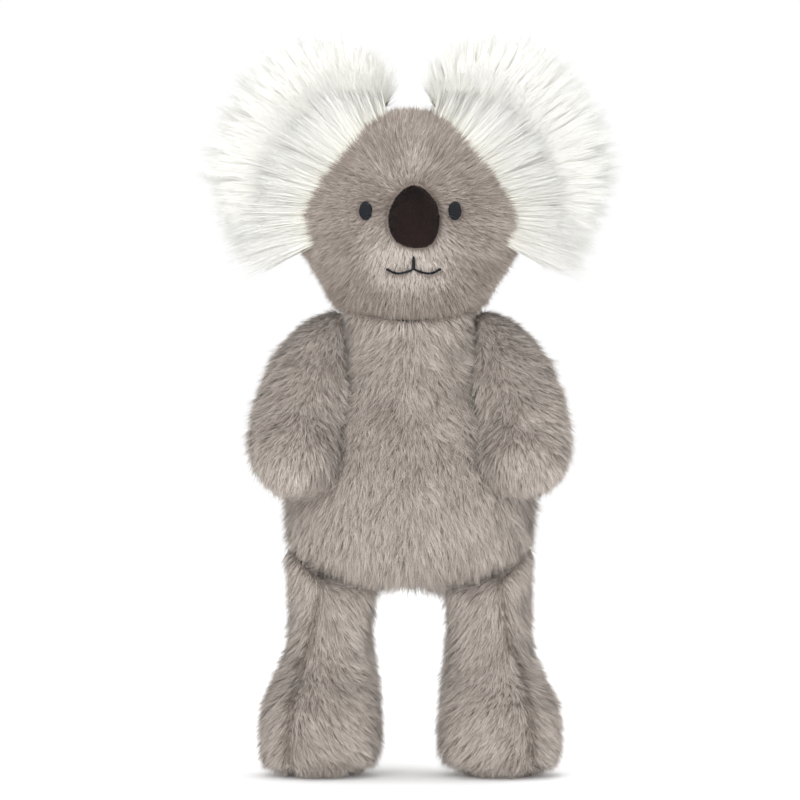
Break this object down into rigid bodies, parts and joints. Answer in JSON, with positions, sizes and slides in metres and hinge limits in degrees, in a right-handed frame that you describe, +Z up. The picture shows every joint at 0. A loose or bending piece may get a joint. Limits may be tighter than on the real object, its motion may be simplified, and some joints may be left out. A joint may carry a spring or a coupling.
{
  "type": "stuffed toy koala",
  "caption": "Standing stuffed toy koala with short grey pile, large ears of long white pile, a padded velour nose, and a head, arms, legs and ears that move on their seams",
  "frame": {"origin": "on the floor, at the middle of the bounding box, between the two feet", "axes": "+Z up through the head; the toy faces -Y; +X is its own left, on the viewer's right"},
  "size_m": [0.1756, 0.117, 0.3318],
  "materials": {
    "grey_plush": "short brushed pile",
    "white_pile": "long loose pile",
    "stuffing": "loose fibre",
    "nose_velour": "close velour",
    "charcoal_thread": "satin stitch"
  },
  "bodies": {
    "torso": {"body_cover": "grey_plush", "body_stuffing": "stuffing"},
    "neck": {"neck_thread": "charcoal_thread"},
    "head": {"head_cover": "grey_plush", "head_stuffing": "stuffing", "nose_cover": "nose_velour", "nose_stuffing": "stuffing", "eye_left": "charcoal_thread", "eye_right": "charcoal_thread", "mouth_stitch_left": "charcoal_thread", "mouth_stitch_right": "charcoal_thread", "lip_stitch": "charcoal_thread"},
    "arm_left": {"arm_cover_left": "grey_plush", "arm_stuffing_left": "stuffing"},
    "arm_right": {"arm_cover_right": "grey_plush", "arm_stuffing_right": "stuffing"},
    "leg_left": {"leg_cover_left": "grey_plush", "leg_stuffing_left": "stuffing", "foot_sole_left": "grey_plush"},
    "leg_right": {"leg_cover_right": "grey_plush", "leg_stuffing_right": "stuffing", "foot_sole_right": "grey_plush"},
    "ear_left": {"ear_back_left": "grey_plush", "ear_pile_left": "white_pile"},
    "ear_right": {"ear_back_right": "grey_plush", "ear_pile_right": "white_pile"}
  },
  "joints": [
    {"name": "neck_turn", "type": "hinge", "parent": "torso", "child": "neck", "pos_m": [0, 0.00796, 0.25203], "axis": [0, 0, 1], "range_deg": [-40, 40], "stiffness_Nm_per_rad": 1.5},
    {"name": "head_nod", "type": "hinge", "parent": "neck", "child": "head", "pos_m": [0, 0.00796, 0.25203], "axis": [1, 0, 0], "range_deg": [-12, 12], "stiffness_Nm_per_rad": 1.5},
    {"name": "arm_swing_left", "type": "hinge", "parent": "torso", "child": "arm_left", "pos_m": [0.033, 0.00996, 0.18897], "axis": [-1, 0, 0], "range_deg": [0, 65], "stiffness_Nm_per_rad": 0.05},
    {"name": "arm_swing_right", "type": "hinge", "parent": "torso", "child": "arm_right", "pos_m": [-0.033, 0.00996, 0.18897], "axis": [-1, 0, 0], "range_deg": [0, 65], "stiffness_Nm_per_rad": 0.05},
    {"name": "leg_swing_left", "type": "hinge", "parent": "torso", "child": "leg_left", "pos_m": [0.03548, 0.00197, 0.074], "axis": [-1, 0, 0], "range_deg": [-10, 60], "stiffness_Nm_per_rad": 4},
    {"name": "leg_swing_right", "type": "hinge", "parent": "torso", "child": "leg_right", "pos_m": [-0.03548, 0.00197, 0.074], "axis": [-1, 0, 0], "range_deg": [-10, 60], "stiffness_Nm_per_rad": 4},
    {"name": "ear_fold_left", "type": "hinge", "parent": "head", "child": "ear_left", "pos_m": [0.02925, 0.01196, 0.26978], "axis": [-0.5562, 0, 0.831], "range_deg": [-20, 20], "stiffness_Nm_per_rad": 0.05},
    {"name": "ear_fold_right", "type": "hinge", "parent": "head", "child": "ear_right", "pos_m": [-0.02925, 0.01196, 0.26978], "axis": [-0.5562, 0, -0.831], "range_deg": [-20, 20], "stiffness_Nm_per_rad": 0.05}
  ]
}
